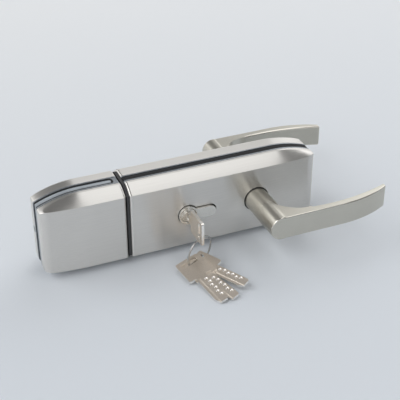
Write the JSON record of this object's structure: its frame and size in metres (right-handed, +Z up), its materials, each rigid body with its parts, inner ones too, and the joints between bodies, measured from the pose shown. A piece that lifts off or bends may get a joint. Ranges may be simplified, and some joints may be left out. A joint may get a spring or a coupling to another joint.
{
  "type": "glass door lock",
  "caption": "Patch lock for a frameless glass door with lever handles, keyed cylinder, latch and dead bolt, strike box and keys on a ring.",
  "frame": {"origin": "middle of the glass slot and of the lock's height, at the door edge end of the main lock", "axes": "+X along the lock away from the door gap, +Y to the back, +Z up"},
  "size_m": [0.2902, 0.174, 0.072],
  "materials": {
    "brushed_cover": "brushed along its length",
    "satin_lever": "satin",
    "nickel_key": "worn nickel",
    "nickel_cylinder": "satin nickel",
    "nickel_plug": "satin nickel",
    "black_rubber": "matt",
    "black_nylon": "matt",
    "grey_packing": "matt",
    "black_steel": "matt black",
    "ring_steel": "bright",
    "zinc_plate": "zinc plated",
    "nickel_bolt": "satin nickel",
    "screw_steel": "bright zinc"
  },
  "bodies": {
    "lock": {"front_cover": "brushed_cover", "rear_cover": "brushed_cover", "front_base_plate": "zinc_plate", "rear_base_plate": "zinc_plate", "front_gasket": "black_rubber", "rear_gasket": "black_rubber", "clamp_screws": "screw_steel", "clamp_nuts": "screw_steel", "cover_screw": "screw_steel", "forend": "black_steel", "forend_screws": "screw_steel", "lock_case": "zinc_plate", "case_lid": "zinc_plate", "lid_screws": "screw_steel", "latch_spring": "screw_steel", "return_spring": "screw_steel", "front_lever_bush": "black_nylon", "rear_lever_bush": "black_nylon", "cylinder_body": "nickel_cylinder", "cylinder_screw": "screw_steel", "strike_front_cover": "brushed_cover", "strike_rear_cover": "brushed_cover", "strike_front_plate": "zinc_plate", "strike_rear_plate": "zinc_plate", "strike_gasket": "black_rubber", "strike_packing": "grey_packing", "strike_clamp_screws": "screw_steel", "strike_clamp_nuts": "screw_steel", "strike_cover_screw": "screw_steel", "strike_box": "zinc_plate", "strike_plate": "black_steel", "strike_plate_screws": "screw_steel"},
    "handles": {"front_lever": "satin_lever", "rear_lever": "satin_lever", "spindle": "screw_steel", "follower": "nickel_bolt", "lever_clips": "screw_steel", "lever_grub_screws": "screw_steel"},
    "front_plug": {"front_plug": "nickel_plug", "cylinder_cam": "nickel_bolt"},
    "keys": {"door_key": "nickel_key", "key_ring": "ring_steel", "loose_key_1": "nickel_key", "loose_key_2": "nickel_key", "loose_key_3": "nickel_key"},
    "rear_plug": {"rear_plug": "nickel_plug"},
    "latch": {"latch_bolt": "nickel_bolt"},
    "dead_bolt": {"dead_bolt": "nickel_bolt"}
  },
  "joints": [
    {"name": "lever_turn", "type": "hinge", "parent": "lock", "child": "handles", "pos_m": [0.113, 0, 0], "axis": [0, 1, 0], "range_deg": [0, 45], "stiffness_Nm_per_rad": 1.2, "springref_deg": -20.05, "deforming": ["return_spring"]},
    {"name": "latch_draw", "type": "slide", "parent": "lock", "child": "latch", "axis": [1, 0, 0], "range_m": [0, 0.011], "deforming": ["latch_spring"]},
    {"name": "plug_turn", "type": "hinge", "parent": "lock", "child": "front_plug", "pos_m": [0.05, 0, 0], "axis": [0, 1, 0], "range_deg": [0, 360]},
    {"name": "dead_bolt_throw", "type": "slide", "parent": "lock", "child": "dead_bolt", "axis": [-1, 0, 0], "range_m": [0, 0.0125]},
    {"name": "key_pull", "type": "slide", "parent": "front_plug", "child": "keys", "axis": [0, -1, 0], "range_m": [0, 0.0285]},
    {"name": "rear_plug_turn", "type": "hinge", "parent": "lock", "child": "rear_plug", "pos_m": [0.05, 0, 0], "axis": [0, 1, 0], "range_deg": [0, 360]}
  ],
  "couplings": [
    {"joint": "latch_draw", "follows": "lever_turn", "m_per_rad": 0.014006},
    {"joint": "dead_bolt_throw", "follows": "plug_turn", "m_per_rad": 0.001989}
  ]
}
